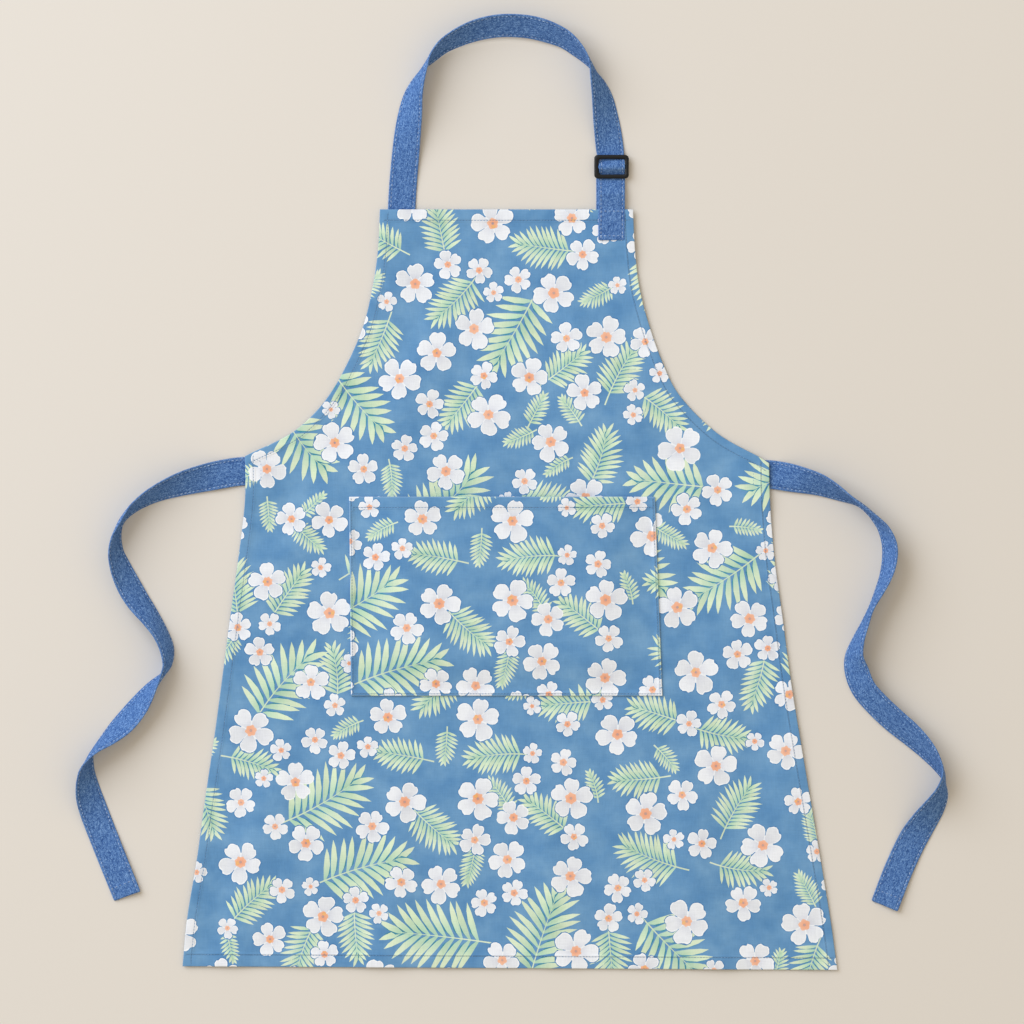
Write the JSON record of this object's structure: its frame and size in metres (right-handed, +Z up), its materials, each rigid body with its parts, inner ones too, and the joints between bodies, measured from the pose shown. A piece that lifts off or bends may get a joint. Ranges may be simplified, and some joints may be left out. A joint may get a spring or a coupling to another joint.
{
  "type": "bib apron",
  "caption": "Full-length bib apron laid flat, with a patch pocket, an adjustable neck strap with a slider, and two waist ties.",
  "frame": {"origin": "middle of the apron's base, on the surface that it lies on, under the middle of its outline with straps", "axes": "+Y from the skirt's hem towards the bib and the neck strap, +X across the body to the side with the slider, +Z up from the surface, out of the printed face"},
  "size_m": [0.9324, 1.022, 0.0304],
  "materials": {
    "printed_cotton": "matt woven cotton with a floral print",
    "denim": "matt blue denim, edge-stitched",
    "black_plastic": "satin moulded plastic"
  },
  "bodies": {
    "root": {"body_panel": "printed_cotton", "pocket": "printed_cotton", "neck_strap": "denim", "buckle_tab": "denim", "slider_buckle": "black_plastic", "waist_tie_left": "denim", "waist_tie_right": "denim"}
  },
  "joints": []
}
